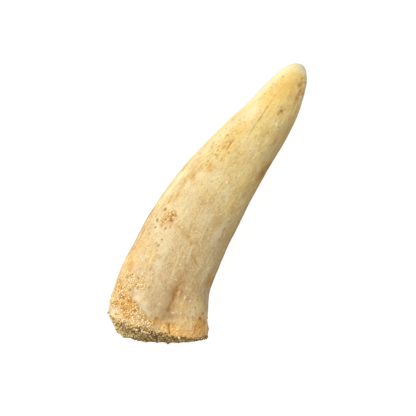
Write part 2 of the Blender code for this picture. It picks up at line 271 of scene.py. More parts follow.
UMBER_BLOTS = (  # brown spots, most of them in pits; the broad ones over the furrow at the base are painted shade
    (37.2, -1.25, 0.26, 0.22, 0.9), (42.5, -1.45, 0.65, 0.24, 0.75), (41.5, -1.95, 0.6, 0.2, 0.65),
    (40.2, -2.25, 0.5, 0.18, 0.45), (43.5, -1.2, 0.36, 0.18, 0.5), (28.3, 2.35, 0.5, 0.18, 0.5),
    (37.65, -0.88, 0.18, 0.13, 0.6), (37.7, -1.5, 0.16, 0.12, 0.5), (36.5, -1.15, 0.32, 0.11, 0.5),
    (37.0, -1.66, 0.2, 0.11, 0.4), (42.1, 1.26, 0.22, 0.13, 0.5), (39.6, 1.78, 0.5, 0.09, 0.35),
    (36.1, 1.7, 0.26, 0.1, 0.35), (27.4, 2.15, 0.45, 0.15, 0.6), (23.35, 1.6, 0.24, 0.16, 0.55),
    (6.2, -2.5, 2.4, 0.9, 0.45), (4.2, -2.4, 2.2, 1.3, 0.55), (2.2, -2.0, 1.8, 0.9, 0.55),
    (8.0, -2.6, 2.0, 0.7, 0.25), (-1.0, 1.0, 0.6, 0.9, 0.3), (13.0, -0.75, 0.6, 0.3, 0.4),
    (6.0, 5.0, 0.8, 1.4, 0.28), (3.0, -4.0, 1.4, 0.5, 0.25), (5.0, -0.4, 1.2, 0.6, 0.2), (0.0, -0.9, 0.4, 0.5, 0.4),
    (21.2, 3.3, 0.5, 0.2, 0.45), (27.1, 1.05, 0.2, 0.18, 0.8), (26.6, 2.63, 0.24, 0.16, 0.55),
    (27.1, 3.9, 0.45, 0.14, 0.45), (26.5, 3.72, 0.22, 0.14, 0.45), (31.8, 2.56, 0.15, 0.14, 0.45),
    (30.6, 2.96, 0.16, 0.14, 0.4), (30.1, 3.05, 0.16, 0.14, 0.4), (30.5, 2.27, 0.16, 0.14, 0.4),
    (29.8, 2.62, 0.15, 0.14, 0.4), (29.2, -0.42, 0.18, 0.14, 0.35), (28.2, -0.81, 0.18, 0.14, 0.35),
    (27.2, -0.37, 0.28, 0.14, 0.35), (33.2, -1.69, 0.2, 0.16, 0.3), (23.7, 2.74, 0.2, 0.17, 0.55),
    (24.0, 2.2, 0.34, 0.18, 0.4), (21.8, 5.2, 0.25, 0.22, 0.5), (15.2, 4.3, 0.32, 0.2, 1.25),
    (13.1, 3.53, 0.4, 0.2, 1.2), (13.4, 4.6, 0.26, 0.18, 1.25), (12.3, 4.28, 0.22, 0.17, 1.2),
    (12.8, 3.57, 0.24, 0.16, 1.0), (14.1, 2.56, 0.34, 0.26, 1.5), (12.7, 2.84, 0.34, 0.15, 0.9),
    (15.5, 2.71, 0.2, 0.13, 0.6), (13.2, 2.34, 0.3, 0.15, 0.65), (0.6, -5.9, 0.3, 0.25, 1.1),
    (0.2, -6.6, 0.34, 0.26, 0.6), (1.5, -6.2, 0.26, 0.22, 0.8), (12.7, 4.66, 0.18, 0.16, 0.55),
    (10.0, 2.55, 0.18, 0.17, 0.9), (9.2, 2.5, 0.24, 0.16, 0.6), (11.0, 2.51, 0.18, 0.15, 0.6),
    (18.7, -0.48, 0.3, 0.18, 0.35), (20.9, -2.1, 0.6, 0.35, 0.22), (19.8, -4.2, 0.9, 0.55, 0.22),
    (12.1, -1.56, 0.7, 0.2, 0.35), (11.2, 4.66, 0.16, 0.14, 0.7), (11.5, 3.7, 0.18, 0.14, 0.6),
    (11.8, 3.01, 0.16, 0.14, 0.35), (8.5, 2.96, 0.18, 0.15, 0.35), (7.7, 2.09, 0.22, 0.16, 0.35),
    (6.8, 2.35, 0.18, 0.16, 0.3), (7.1, 1.41, 0.2, 0.16, 0.3), (12.7, 4.71, 0.18, 0.16, 0.4),
    (-0.2, 0.1, 0.34, 0.34, 0.9), (-0.4, -0.1, 0.5, 0.6, 0.4), (-0.7, -1.65, 0.4, 0.5, 0.45),
    (28.4, -4.7, 2.6, 0.4, 0.45), (0.4, -5.8, 0.6, 0.3, 0.3), (3.9, 6.05, 0.3, 0.24, 0.4),
)
UMBER_STROKES = (  # brown cracks
    (36.7, 0.85, 33.9, 0.68, 0.05, 0.3), (33.9, 0.68, 31.3, 0.41, 0.04, 0.28),
    (18.5, -4.68, 18.1, -4.7, 0.09, 0.45), (17.2, -4.72, 16.6, -4.76, 0.11, 0.6),
    (16.3, -4.86, 15.8, -4.9, 0.09, 0.5), (15.3, -4.86, 14.8, -4.9, 0.09, 0.55),
    (-0.8, -1.8, -2.6, -2.05, 0.1, 1.3), (29.2, 1.74, 27.4, 1.62, 0.07, 0.6), (10.7, -2.45, 9.9, -3.75, 0.22, 0.35),
)
GOLD_BLOTS = (  # honey yellow, where the enamel is thick and clear; near the tip's inner curve it is painted light
    (40.4, 0.1, 3.2, 1.6, 1.0), (37.6, 0.8, 2.8, 1.2, 0.8), (35.6, 1.7, 2.2, 1.0, 0.3), (36.6, -0.6, 2.2, 0.8, 0.5),
    (7.0, 5.1, 1.2, 0.55, 0.6), (28.0, -0.8, 2.6, 0.9, 0.35), (8.9, 4.7, 1.2, 0.45, 0.3),
    (24.0, 2.1, 1.2, 0.7, 0.6), (30.0, 2.4, 2.4, 0.8, 0.35), (20.8, -3.7, 1.6, 0.7, 0.4),
    (25.0, -3.2, 3.0, 0.7, 0.35), (22.5, 5.1, 1.4, 0.4, 0.7), (30.6, 1.9, 3.4, 1.0, 0.6),
    (27.8, 1.7, 2.0, 1.2, 0.5), (6.4, 5.3, 1.6, 1.2, 0.6), (9.4, 4.6, 2.0, 1.0, 0.2), (8.0, 2.9, 1.8, 1.0, 0.35),
    (43.8, -1.9, 1.3, 0.7, 0.9), (43.9, -0.6, 0.9, 0.8, 0.9), (2.0, -5.4, 2.2, 1.6, 0.45),
    (2.2, -3.7, 1.2, 1.1, 0.4), (2.3, 6.2, 0.9, 0.6, 0.9), (4.5, 6.8, 1.0, 0.4, 0.8),
)
PALE_BLOTS = (  # bleached enamel; near the tip's inner curve these are painted light
    (7.2, 1.4, 1.2, 0.8, 0.5), (0.2, 2.2, 0.6, 0.5, 0.6), (19.8, 3.2, 1.0, 0.6, 0.5), (15.8, -4.3, 2.6, 0.6, 0.45),
    (12.4, 4.05, 1.2, 0.6, 0.6), (-0.9, -4.2, 0.6, 0.8, 0.25), (5.6, 6.8, 0.8, 0.5, 0.8),
    (44.9, 0.0, 1.2, 1.9, 0.8), (34.4, 2.3, 2.2, 0.8, 0.7), (21.9, 2.6, 0.8, 0.6, 0.55),
    (2.3, 3.05, 0.8, 0.7, 0.55), (11.0, 1.8, 2.6, 1.3, 0.35), (43.7, -2.0, 1.2, 0.6, 1.0),
    (18.0, 2.0, 3.5, 1.4, 0.35), (1.5, 2.0, 1.0, 0.8, 0.5), (23.0, 0.6, 2.0, 1.0, 0.25),
    (29.0, -1.1, 2.6, 0.9, 0.25), (12.5, 3.8, 2.0, 1.2, 0.25), (13.0, 4.75, 0.8, 0.3, 0.5),
    (2.0, -5.0, 1.8, 1.4, 0.35), (1.2, -7.0, 1.2, 0.6, 0.5), (0.3, 6.3, 1.1, 0.8, 0.4), (1.5, 7.1, 1.5, 0.5, 0.9),
    (16.8, -1.6, 2.4, 1.0, 0.3), (21.4, -2.0, 1.8, 0.8, 0.35), (42.0, -2.72, 2.8, 0.5, 1.0),
    (45.0, -0.6, 0.9, 1.1, 0.9), (0.6, 1.9, 0.9, 0.8, 0.7), (11.8, 2.9, 2.0, 1.2, 0.4),
)
PALE_STROKES = (  # scratches
    (11.9, -1.9, 9.3, -2.2, 0.08, 0.6), (13.2, -4.75, 10.6, -4.7, 0.08, 0.45), (17.5, -2.1, 13.0, -2.6, 0.07, 0.5),
    (20.0, -0.4, 16.5, -0.6, 0.07, 0.5), (19.8, -1.5, 17.8, -1.7, 0.07, 0.5), (9.0, -0.9, 6.2, -1.0, 0.07, 0.45),
    (16.0, 0.3, 12.0, 0.1, 0.07, 0.45), (9.5, -4.1, 6.0, -3.9, 0.08, 0.5),
)
MAUVE_BLOTS = (  # bare dentine, grey with a touch of lilac
    (5.1, 0.7, 1.0, 0.7, 0.3), (4.6, 2.4, 0.8, 0.6, 0.3), (1.8, 0.9, 1.5, 1.0, 0.45), (0.9, -0.9, 1.2, 1.0, 0.9),
    (0.0, -0.6, 0.6, 0.8, 0.5), (0.3, -1.9, 0.7, 0.6, 0.9), (3.4, -0.4, 2.2, 1.1, 0.35),
    (37.6, -2.3, 2.4, 0.6, 0.25), (35.0, -3.0, 2.8, 0.8, 0.45), (31.8, -3.6, 2.6, 0.8, 0.45),
    (14.6, -4.8, 4.0, 0.9, 0.25), (12.0, -2.6, 3.0, 1.0, 0.3),
)
CRUST_BLOTS = (  # where sand still sticks to the flank
    (4.8, 4.7, 1.1, 1.2, 1.0), (4.6, 3.5, 1.0, 1.7, 0.9), (4.2, 2.3, 0.7, 0.9, 0.6), (3.2, 4.5, 0.8, 0.6, 0.8),
    (2.6, 5.7, 1.7, 0.65, 1.0), (1.9, 4.9, 1.4, 1.3, 1.0), (1.1, 3.7, 1.1, 1.4, 1.0), (3.6, 5.3, 0.9, 0.8, 0.8),
    (-0.2, 4.7, 1.3, 1.4, 1.0), (0.2, 2.3, 0.8, 1.1, 0.8), (14.9, 2.9, 1.0, 0.6, 1.0), (14.4, 3.3, 1.0, 0.55, 1.0),
    (13.7, 3.6, 1.1, 0.45, 1.0), (-0.5, 2.9, 1.1, 2.3, 1.0), (-1.0, 1.4, 0.8, 1.2, 0.9), (1.8, 6.3, 0.9, 0.55, 1.0),
    (4.4, 6.2, 0.7, 0.4, 0.7),
)
AMBER_BLOTS = (  # where that sand is stained golden
    (4.0, 5.9, 0.9, 0.5, 0.9), (2.6, 5.1, 1.0, 0.7, 0.8), (1.9, 4.2, 1.4, 1.3, 1.0), (0.2, 4.1, 0.7, 0.8, 0.9),
    (1.9, 6.0, 0.9, 0.5, 0.5), (1.0, 3.4, 0.9, 1.2, 0.9), (1.0, 4.8, 0.9, 0.8, 0.8), (-0.4, 0.7, 0.8, 1.6, 0.8),
    (14.2, 3.2, 2.4, 1.4, 0.5),
)
# Strokes near the outer curve, where an offset across says too little: these are measured round the section from
# the curve instead. The first are rust-orange. The others are cream, partly the enamel's own and partly a painted
# highlight along the keel's crest and the outer curve, which face the light.
RUSTY_EDGE = (
    (14.6, 1.1, 12.8, 1.7, 0.5, 0.9), (12.8, 1.9, 11.6, 3.2, 0.3, 0.8), (11.6, 3.6, 8.3, 4.0, 0.26, 0.6),
    (11.2, 1.2, 8.4, 1.5, 0.6, 0.85), (8.3, 3.6, 6.6, 4.4, 0.5, 0.5), (6.6, 5.0, 5.2, 5.4, 0.5, 0.9),
    (4.9, 2.8, 3.6, 3.2, 0.6, 0.8), (23.2, 2.2, 21.6, 2.4, 0.4, 0.7), (21.8, 2.7, 21.4, 3.0, 0.2, 0.75),
    (22.5, 2.9, 22.2, 3.0, 0.16, 0.6), (19.2, 3.08, 16.6, 3.15, 0.09, 0.4), (21.0, 4.2, 18.0, 4.22, 0.09, 0.35),
    (14.5, 2.4, 14.3, 2.8, 0.22, 1.8), (13.95, 3.0, 13.9, 3.2, 0.18, 0.8), (14.2, 0.6, 9.2, 1.2, 0.7, 0.6),
    (13.0, 3.7, 8.0, 3.8, 0.09, 0.35), (14.2, 4.5, 11.0, 4.6, 0.09, 0.35),
)
CREAM_EDGE = (
    (24.5, 2.9, 21.9, 3.48, 0.11, 0.6), (21.9, 3.48, 17.5, 3.62, 0.13, 1.0), (17.5, 3.62, 15.8, 3.88, 0.11, 0.8),
    (15.8, 3.88, 12.1, 4.12, 0.09, 0.5), (12.1, 4.12, 7.5, 4.2, 0.09, 0.35), (14.3, 4.85, 12.4, 4.7, 0.09, 0.45),
    (22.5, 2.45, 16.0, 2.7, 0.11, 0.6), (38.0, 2.0, 24.5, 2.9, 0.11, 0.4), (44.0, 1.7, 36.0, 2.0, 0.85, 0.75),
    (36.0, 1.6, 26.0, 2.0, 0.75, 0.75), (26.0, 2.2, 12.0, 1.6, 0.75, 0.6), (38.0, 0.2, 6.0, 0.4, 1.2, 0.75),
    (36.0, 3.4, 18.0, 3.6, 0.9, 0.4), (5.6, 1.4, -0.6, 0.5, 0.9, 0.6), (6.6, 0.9, 4.6, 1.4, 0.6, 0.9),
)
# Pits drilled by small animals and by acid, one under each small brown spot: distance along, offset across,
# radius and depth. Many smaller ones are scattered by a seed.
PITTED_SPOT, PIT_WIDER, PIT_SHALLOWEST, PIT_STEEPNESS = 0.35, 1.1, 0.02, 0.12
PITS = tuple(
    (at, off, max(reach, breadth) * PIT_WIDER, PIT_SHALLOWEST + PIT_STEEPNESS * min(reach, breadth))
    for at, off, reach, breadth, strength in UMBER_BLOTS if reach < PITTED_SPOT
)
PIT_SEED, SMALL_PITS, SMALL_PIT_STAIN = 7, 150, 0.40
SMALL_PIT_RADII, SMALL_PIT_DEPTHS = (0.10, 0.18), (0.01, 0.035)
STREAK_HEIGHT, STREAK_SIZE, STREAK_STRETCH = 0.016, 0.5, 22.0
CRUST_LIFT, CRUST_GRAIN, CRUST_GRAIN_SIZE = 0.03, 0.05, 0.42
BARE_SAND_SUNK, BARE_SAND_EDGE = 0.06, 0.15
# Painted light: bare sand on the upper and outer flank is drawn in lighter tones, as if lit.
LIT_SIDE_RIM = ((30.0, 32.0), (80.0, 60.0))  # directions in which it is pale, and how far round
LIP_LUMP, LIP_LUMP_SIZE, LIP_GRIT_SIZE = 0.12, 0.55, 0.30
WAVE, WAVE_SIZE, RIPPLE, RIPPLE_SIZE = 0.03, 1.1, 0.02, 0.5
CRACK_DEPTH, FURROW_DEPTH = 0.04, 0.05
PITTED_BLOTS = (  # where tiny pits crowd together
    (28.5, 2.6, 3.4, 1.7, 1.0), (32.0, 2.8, 2.0, 0.9, 0.7), (25.0, 2.5, 2.0, 1.0, 0.7), (3.5, -5.0, 3.0, 1.8, 0.8),
    (13.5, 4.4, 2.6, 1.1, 0.7), (9.6, 2.6, 3.2, 0.9, 0.8), (6.8, 1.8, 2.4, 1.0, 0.7), (19.5, -1.2, 3.0, 1.2, 0.4),
    (22.0, 0.4, 4.0, 1.2, 0.4), (5.0, -3.1, 3.0, 1.6, 0.6), (29.0, -0.7, 3.0, 0.8, 0.6), (6.5, -5.0, 3.0, 0.9, 0.5),
    (1.0, -5.6, 2.0, 1.2, 0.8), (41.3, -2.2, 2.4, 0.6, 0.8), (39.5, 1.6, 3.0, 0.8, 0.5),
)
BEADS = (  # single glassy grains stuck on the enamel, with their radius
    (23.2, -1.41, 0.13), (8.7, -1.58, 0.13), (8.0, 3.19, 0.12), (6.15, -1.88, 0.11), (5.3, -3.63, 0.11),
    (4.2, -2.77, 0.13), (3.8, -2.78, 0.12), (3.5, -3.68, 0.15), (2.45, -3.28, 0.11), (0.95, -2.32, 0.14),
    (1.05, -3.42, 0.12), (1.95, 0.1, 0.11), (35.05, -1.93, 0.14), (37.6, 0.3, 0.11), (13.4, 4.87, 0.14),
    (13.0, 4.8, 0.15), (18.6, -3.2, 0.1), (3.0, -4.4, 0.11), (31.0, -1.6, 0.1), (26.2, -0.9, 0.1),
    (14.75, 3.14, 0.14), (10.8, 3.65, 0.12),
)
FURROW_DARKENING = (  # strokes along the furrow at the base, the first three of them deep: darker brown in it, painted shade over its sides
    (5.0, -2.35, 3.9, -2.15, 0.32, 0.9), (3.9, -2.15, 3.0, -2.05, 0.36, 0.95), (2.6, -1.8, 1.3, -1.5, 0.36, 0.8),
    (5.6, -2.5, 2.6, -2.2, 0.6, 0.5), (2.6, -2.0, 0.6, -2.1, 0.7, 0.5),
)
RUST_SIZE, RUST_SHARE = 3.0, 0.6  # faint broad patches
BELLY_PITTED = 3.0  # the size of the pitted patches on the lower half
RIM_STAIN_FULL, RIM_STAIN_GONE = 0.4, 3.2  # distances from the rim
RIM_STAIN_MORE, RIM_STAIN_ANGLE, RIM_STAIN_SPREAD = 1.7, 158.0, 24.0
MARGIN_SPREAD, MARGIN_SHARE, MARGIN_MORE = 20.0, 0.60, 0.25  # painted shade: a darker line along the inner curve, which faces away from the light
MARGIN_START, MARGIN_END, MARGIN_DARKEST, MARGIN_DARK_REACH = (8.0, 14.0), (36.0, 40.0), 29.0, 6.0
INNER_SIDE = (0.4, -1.2)  # offsets across at which the stained rim starts and is full, on the upper side
CRUSTED_BELLY, CRUSTED_REACH, CRUST_STRONG = (-60.0, -25.0), (1.6, 3.4), (0.12, 0.75)
SAND_REACH, SAND_REACH_ANGLE, SAND_REACH_SPREAD = 0.70, 78.0, 18.0  # the sand runs up over the rim there
SWELLINGS = (  # and dips: distance along, angle, half sizes along and across, and height
    (-0.6, 174.0, 0.6, 0.6, 0.18), (-0.9, 160.0, 0.5, 0.5, 0.16), (0.4, 150.0, 0.7, 0.7, 0.12),
    (-0.6, 130.0, 0.6, 0.6, 0.12), (-0.7, 118.0, 0.45, 0.45, 0.12), (-0.3, 105.0, 0.4, 0.4, 0.1),
    (0.9, 177.0, 0.8, 1.5, -0.14), (4.0, 180.0, 2.4, 2.4, -0.12), (26.5, 178.0, 11.0, 3.0, -0.15),
    (8.6, 6.0, 3.4, 3.0, -0.2), (22.6, 16.0, 1.6, 2.0, 0.08), (2.8, 8.0, 1.0, 2.0, 0.1),
    (1.8, 103.0, 4.5, 2.2, -0.34), (1.6, 146.0, 3.6, 3.0, 0.34), (43.0, 150.0, 3.0, 1.1, 0.22),
    (43.0, 180.0, 3.0, 0.8, -0.08), (-1.0, 176.0, 0.7, 1.0, -0.1),
)

# The edges of all marks wander, and they end on the lower half, which has plainer ones of its own. A number
# added to a spot only keeps one noise from repeating another.
WANDER, WANDER_SIZE, FINE_WANDER, FINE_WANDER_SIZE = 0.30, 0.9, 0.18, 0.35
MARKED_FROM, MARKED_TO = -0.55, 0.15
BLOT_FULL, BLOT_GONE = 0.2, 1.35
STROKE_FULL, STROKE_GONE = 0.3, 1.6

fang_angle = np.arange(FANG_AROUND) * (360.0 / FANG_AROUND)
fang_angle += CROWDING * np.cos(np.radians(fang_angle))
fang_rim = joint(fang_angle)
share = np.arange(FLANK_RINGS + 1) / FLANK_RINGS
even = share * (BASE_SPACING + (1.0 - BASE_SPACING) * share) * (AXIS_LENGTH - TIP_RADIUS)
low = even[:, None] + fang_rim * (1.0 - np.minimum(1.0, even[:, None] / RIM_FADE)) ** 2
turn = np.radians(90.0 * np.arange(1, TIP_RINGS) / TIP_RINGS)
high = np.repeat((AXIS_LENGTH - TIP_RADIUS * (1.0 - np.sin(turn)))[:, None], FANG_AROUND, axis=1)
along = np.concatenate((low, high))
angle = np.broadcast_to(fang_angle, along.shape)
oval_across, oval_up = oval(angle)
width = station(along, HALF_WIDTH)
across = oval_across * width * tip_share(along)
round_from_outer = round_by(angle, 0.0, width)
spot = section_spot(along, angle)
wander = WANDER * perlin(spot, WANDER_SIZE) + FINE_WANDER * perlin(spot, FINE_WANDER_SIZE)
upper = step_up(MARKED_FROM, MARKED_TO, oval_up + 0.9 * wander + 0.5 * perlin(spot + 70.0, 2.0))


def blots(marks, ragged=1.0):
    """How strongly a list of blots marks each point, with wandering edges."""
    total = np.zeros_like(along)
    for at, off, reach, breadth, strength in marks:
        distance = np.hypot((along - at) / reach, (across - off) / breadth) + ragged * wander
        total = np.maximum(total, strength * (1.0 - step_up(BLOT_FULL, BLOT_GONE, distance)))
    return total * upper


def strokes(marks, sideways, ragged=0.5):
    """The same for strokes, which run straight between two points."""
    total = np.zeros_like(along)
    for at, off, at_end, off_end, breadth, strength in marks:
        run, rise = at_end - at, off_end - off
        t = np.clip(((along - at) * run + (sideways - off) * rise) / (run * run + rise * rise), 0.0, 1.0)
        distance = np.hypot(along - at - t * run, sideways - off - t * rise) / breadth + ragged * wander
        total = np.maximum(total, strength * (1.0 - step_up(STROKE_FULL, STROKE_GONE, distance)))
    return total * upper


belly = 1.0 - upper
from_rim = along - fang_rim
rust = step_up(0.05, 0.55, perlin(spot + 40.0, RUST_SIZE)) * (1.0 - step_up(-0.95, -0.65, oval_up)) * RUST_SHARE
rim_rust = from_rim + 1.0 * perlin(spot + 9.0, 1.1) + 0.6 * perlin(spot + 12.0, 0.45)
rim_rust = rim_rust - RIM_STAIN_MORE * bump(turned(angle, RIM_STAIN_ANGLE), RIM_STAIN_SPREAD)
rim_rust = 1.0 - step_up(RIM_STAIN_FULL, RIM_STAIN_GONE, rim_rust)
over_rim = SAND_REACH * bump(turned(angle, SAND_REACH_ANGLE), SAND_REACH_SPREAD)
ragged_edge = 0.25 * perlin(spot + 3.0, 0.9) + 0.25 * perlin(spot, 0.35)
grey = 1.0 - step_up(-BARE_SAND_EDGE, BARE_SAND_EDGE, from_rim - over_rim + ragged_edge)
# Painted shade: the inner curve, turned away from the light, is drawn darker and browner through the iron and umber
# layers.
painted_shade_margin = bump(turned(angle, 180.0), MARGIN_SPREAD) * upper
painted_shade_margin *= MARGIN_SHARE + MARGIN_MORE * bump(along - MARGIN_DARKEST, MARGIN_DARK_REACH)
painted_shade_margin *= step_up(*MARGIN_START, along) * (1.0 - step_up(*MARGIN_END, along))
inner_side = np.where(oval_up > 0, step_up(*INNER_SIDE, across), 1.0)
masks = {
    "iron_and_shade": np.maximum.reduce((
        blots(IRON_BLOTS), strokes(IRON_STROKES, across), strokes(RUSTY_EDGE, round_from_outer), rust, painted_shade_margin,
    )),
    "rim": rim_rust * inner_side * (1.0 - blots(MAUVE_BLOTS)) * (1.0 - 0.4 * bump(turned(angle, 180.0), 22.0)),
    "umber": np.maximum.reduce((
        blots(UMBER_BLOTS, 0.5), strokes(UMBER_STROKES, across), strokes(FURROW_DARKENING, across, 1.4), 0.3 * painted_shade_margin,
    )),
    "gold": blots(GOLD_BLOTS),
    "pale": np.maximum.reduce((
        blots(PALE_BLOTS), strokes(PALE_STROKES, across), strokes(CREAM_EDGE, round_from_outer),
    )),
    "mauve": blots(MAUVE_BLOTS),
    "pitted": np.maximum(blots(PITTED_BLOTS), 0.5 * belly * step_up(0.0, 0.5, perlin(spot + 60.0, BELLY_PITTED))),
    "crust": blots(CRUST_BLOTS, 0.8),
    "amber": blots(AMBER_BLOTS),
}
outer_belly = step_up(*CRUSTED_BELLY, turned(angle, 0.0)) * belly
masks["crust"] = np.maximum(masks["crust"], outer_belly * (1.0 - step_up(*CRUSTED_REACH, from_rim + wander)))
masks["crust"] = np.maximum(step_up(*CRUST_STRONG, masks["crust"]), grey)
masks["grey"] = grey
# painted light on the bare sand of the flank, in the directions given above
masks["lit_side"] = grey * np.maximum.reduce([bump(turned(angle, to), spread) for to, spread in LIT_SIDE_RIM])

raised = relief(along, angle)
streak_spot = np.stack((along / STREAK_STRETCH, spot[..., 1], spot[..., 2]), axis=-1)
streaks = perlin(streak_spot, STREAK_SIZE) + 0.6 * perlin(streak_spot + 5.0, STREAK_SIZE / 2)
streaks *= step_up(-0.25, 0.35, perlin(spot + 70.0, 4.0))  # worn away in places
raised += STREAK_HEIGHT * streaks * tip_share(along) * (1.0 - masks["crust"])
crust_height = CRUST_LIFT + CRUST_GRAIN * perlin(spot, CRUST_GRAIN_SIZE)
raised += masks["crust"] * (1.0 - grey) * crust_height - BARE_SAND_SUNK * grey
lip_lumps = perlin(spot + 50.0, LIP_LUMP_SIZE) + 0.7 * perlin(spot + 52.0, LIP_GRIT_SIZE)
raised += LIP_LUMP * rim_rust * inner_side * lip_lumps * (1.0 - grey)
for at, toward, reach, breadth, height in SWELLINGS:
    raised += height * bump(np.hypot((along - at) / reach, round_by(angle, toward, width) / breadth), 1.0)
for at, off, radius, depth in PITS:
    raised -= depth * bump(np.hypot(along - at, across - off), radius) * upper
cracks, furrow = strokes(UMBER_STROKES, across, 0.2), strokes(FURROW_DARKENING[:3], across, 0.8)
raised -= CRACK_DEPTH * cracks + FURROW_DEPTH * furrow
raised += WAVE * perlin(spot + 20.0, WAVE_SIZE) + RIPPLE * perlin(spot + 30.0, RIPPLE_SIZE)
# Each bead is raised and painted pale, a painted highlight on its glassy top, with the brown under it taken away.
for at, off, radius in BEADS:
    bead = bump(np.hypot(along - at, across - off), radius) * upper
    raised += radius * bead
    masks["pale"] = np.maximum(masks["pale"], 1.2 * bead)
    masks["umber"] *= 1.0 - np.minimum(1.0, 1.2 * bead)
draw = np.random.default_rng(PIT_SEED)
for _ in range(SMALL_PITS):
    at, toward = draw.uniform(1.0, 40.0), draw.uniform(0.0, 360.0)
    radius, depth = draw.uniform(*SMALL_PIT_RADII), draw.uniform(*SMALL_PIT_DEPTHS)
    pit = bump(np.hypot(along - at, round_by(angle, toward, width)), radius)
    raised -= depth * pit
    masks["umber"] = np.maximum(masks["umber"], SMALL_PIT_STAIN * pit)

side_points = flank(along, angle, raised)
dish_share = np.arange(1, DISH_RINGS)[:, None] / DISH_RINGS
dish_points = break_points(dish_share, fang_angle[None, :], fang_rim[None, :], 0.0)
rows = np.concatenate((dish_points, side_points))
dish_middle = dish_points[0].mean(axis=0)
tip_along = np.array(AXIS_LENGTH)
tip_point = place(tip_along, np.array(0.0), station(tip_along, HALF_THICKNESS) - REST_FLAT)


def closed_rings(name, first, rows, last, fields):
    """A closed mesh of rings between two poles, with one named value at each point for each field."""
    ring_count, around = rows.shape[:2]
    points = np.concatenate((first[None, :], rows.reshape(-1, 3), last[None, :]))
    j = np.arange(around)
    next_j = (j + 1) % around
    i = np.arange(ring_count - 1)[:, None]
    start = 1 + i * around
    quads = np.stack((start + j, start + next_j, start + around + next_j, start + around + j), axis=-1)
    top = 1 + (ring_count - 1) * around
    end_fan = np.stack((np.full(around, len(points) - 1), top + j, top + next_j), axis=-1)
    start_fan = np.stack((np.zeros(around, int), 1 + next_j, 1 + j), axis=-1)
    mesh = bpy.data.meshes.new(name)
    mesh.from_pydata(points.tolist(), [], start_fan.tolist() + quads.reshape(-1, 4).tolist() + end_fan.tolist())
    for field, values in fields.items():
        kind, slot = ("FLOAT", "value") if values.ndim == 1 else ("FLOAT_VECTOR", "vector")
        mesh.attributes.new(field, kind, "POINT").data.foreach_set(slot, values.astype(np.float32).ravel())
    mesh.shade_smooth()
    piece = bpy.data.objects.new(name, mesh)
    bpy.context.scene.collection.objects.link(piece)
    return piece


def with_ends(values, before, at_first, at_last):
    """A field's values for every point of the mesh, with plain ones for the break and the poles."""
    flat = values.reshape(-1, *values.shape[2:])
    padding = np.full((before, *flat.shape[1:]), at_first)
    return np.concatenate((padding, flat, np.full((1, *flat.shape[1:]), at_last)))


hidden = 1 + (DISH_RINGS - 1) * FANG_AROUND
fields = {name: with_ends(values, hidden, 0.0, values[-1].mean()) for name, values in masks.items()}
fields["flank"] = with_ends(spot * MM, hidden, 0.0, AXIS_LENGTH * MM)
fang = closed_rings("fang_enamel", dish_middle, rows, tip_point, fields)


def linear(code):
    """The linear colour of an sRGB hex code."""
    parts = [int(code[i : i + 2], 16) / 255.0 for i in (1, 3, 5)]
    return tuple(p / 12.92 if p <= 0.04045 else ((p + 0.055) / 1.055) ** 2.4 for p in parts) + (1.0,)


def feed(tree, to, inputs):
    """A node's inputs set to values, or linked to outputs: a node stands for the first of its own."""
    for key, value in dict(inputs).items():
        if isinstance(value, bpy.types.Node):
            value = next(output for output in value.outputs if output.enabled)
        if isinstance(value, bpy.types.NodeSocket):
            tree.links.new(value, to.inputs[key])
        else:
            to.inputs[key].default_value = value


def node(tree, kind, inputs=(), **settings):
    """A new node with its settings, values and links."""
    new = tree.nodes.new(kind)
    for key, value in settings.items():
        setattr(new, key, value)
    feed(tree, new, inputs)
    return new


def new_finish(name):
    """A material, its node tree and its shader."""
    finish = bpy.data.materials.new(name)
    finish.use_nodes = True
    return finish, finish.node_tree, finish.node_tree.nodes["Principled BSDF"]


def layered(tree, vector, ground, patterns, layers, values=()):
    """The colour of a ground with others laid over it in turn, and all values that say where.

    A pattern is a noise: its name, the size of its lumps in millimetres, how far they are drawn out along the
    vector's first axis, its detail, roughness and shift. A layer is a colour and the factors of its share: a
    number, a value's name, or that with the value's range and the factors it is moved to, 0 to 1 if none are given.
    """
    values = dict(values)
    for name, size, stretch, detail, rough, shift in patterns:
        moved = node(tree, "ShaderNodeMapping", {
            "Vector": vector, "Scale": (1.0 / stretch, 1.0, 1.0), "Location": (shift, shift, shift),
        })
        values[name] = node(tree, "ShaderNodeTexNoise", {
            "Vector": moved, "Scale": 1.0 / (size * MM), "Detail": detail, "Roughness": rough,
        })
    colour = linear(ground)
    for code, *factors in layers:
        share = None
        for factor in factors:
            if isinstance(factor, tuple):
                name, low, high, weak, strong = (*factor, 0.0, 1.0)[:5]
                factor = node(tree, "ShaderNodeMapRange", {
                    "Value": values[name], "From Min": low, "From Max": high, "To Min": weak, "To Max": strong,
                })
            elif isinstance(factor, str):
                factor = values[factor]
            if share is not None:
                factor = node(tree, "ShaderNodeMath", {0: share, 1: factor}, operation="MULTIPLY")
            share = factor
        colour = node(tree, "ShaderNodeMix", {"Factor": share, "A": colour, "B": linear(code)}, data_type="RGBA")
    return colour, values


